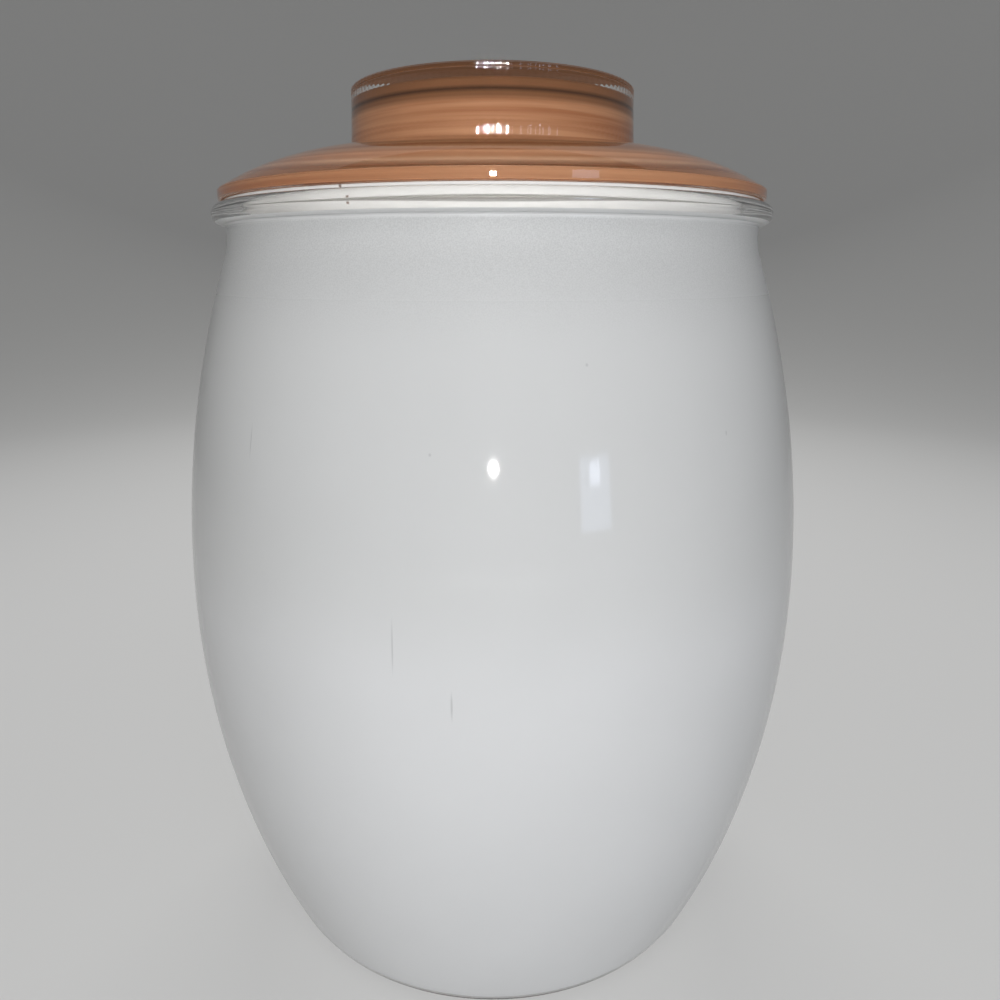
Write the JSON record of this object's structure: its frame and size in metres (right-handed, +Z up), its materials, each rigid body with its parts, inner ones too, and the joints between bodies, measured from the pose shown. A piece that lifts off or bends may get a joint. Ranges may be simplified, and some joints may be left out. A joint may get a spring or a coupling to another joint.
{
  "type": "cookie jar",
  "caption": "Barrel-shaped white glass cookie jar with a beaded rim, and a copper-coloured domed glass lid with a wide hollow knob that lifts off with its sealing ring.",
  "frame": {"origin": "centre of the foot ring, on the surface that the jar stands on", "axes": "+Z up along the jar's axis; the jar is round, so +X and +Y are any two level directions at right angles"},
  "size_m": [0.18, 0.18, 0.2393],
  "materials": {
    "enamelled_glass": "clear glass with a glossy white enamel sprayed on the outside; the bead and the heel are left clear",
    "lacquered_glass": "clear pressed glass with a copper-coloured lacquer on the inside",
    "gasket_plastic": "soft white polyethylene, satin"
  },
  "bodies": {
    "jar": {"jar_body": "enamelled_glass"},
    "seal": {"gasket": "gasket_plastic"},
    "cover": {"lid": "lacquered_glass"}
  },
  "joints": [
    {"name": "seal_lift", "type": "slide", "parent": "jar", "child": "seal", "axis": [0, 0, 1], "range_m": [0, 0.15]},
    {"name": "lid_from_seal", "type": "slide", "parent": "seal", "child": "cover", "axis": [0, 0, 1], "range_m": [0, 0.05]}
  ]
}
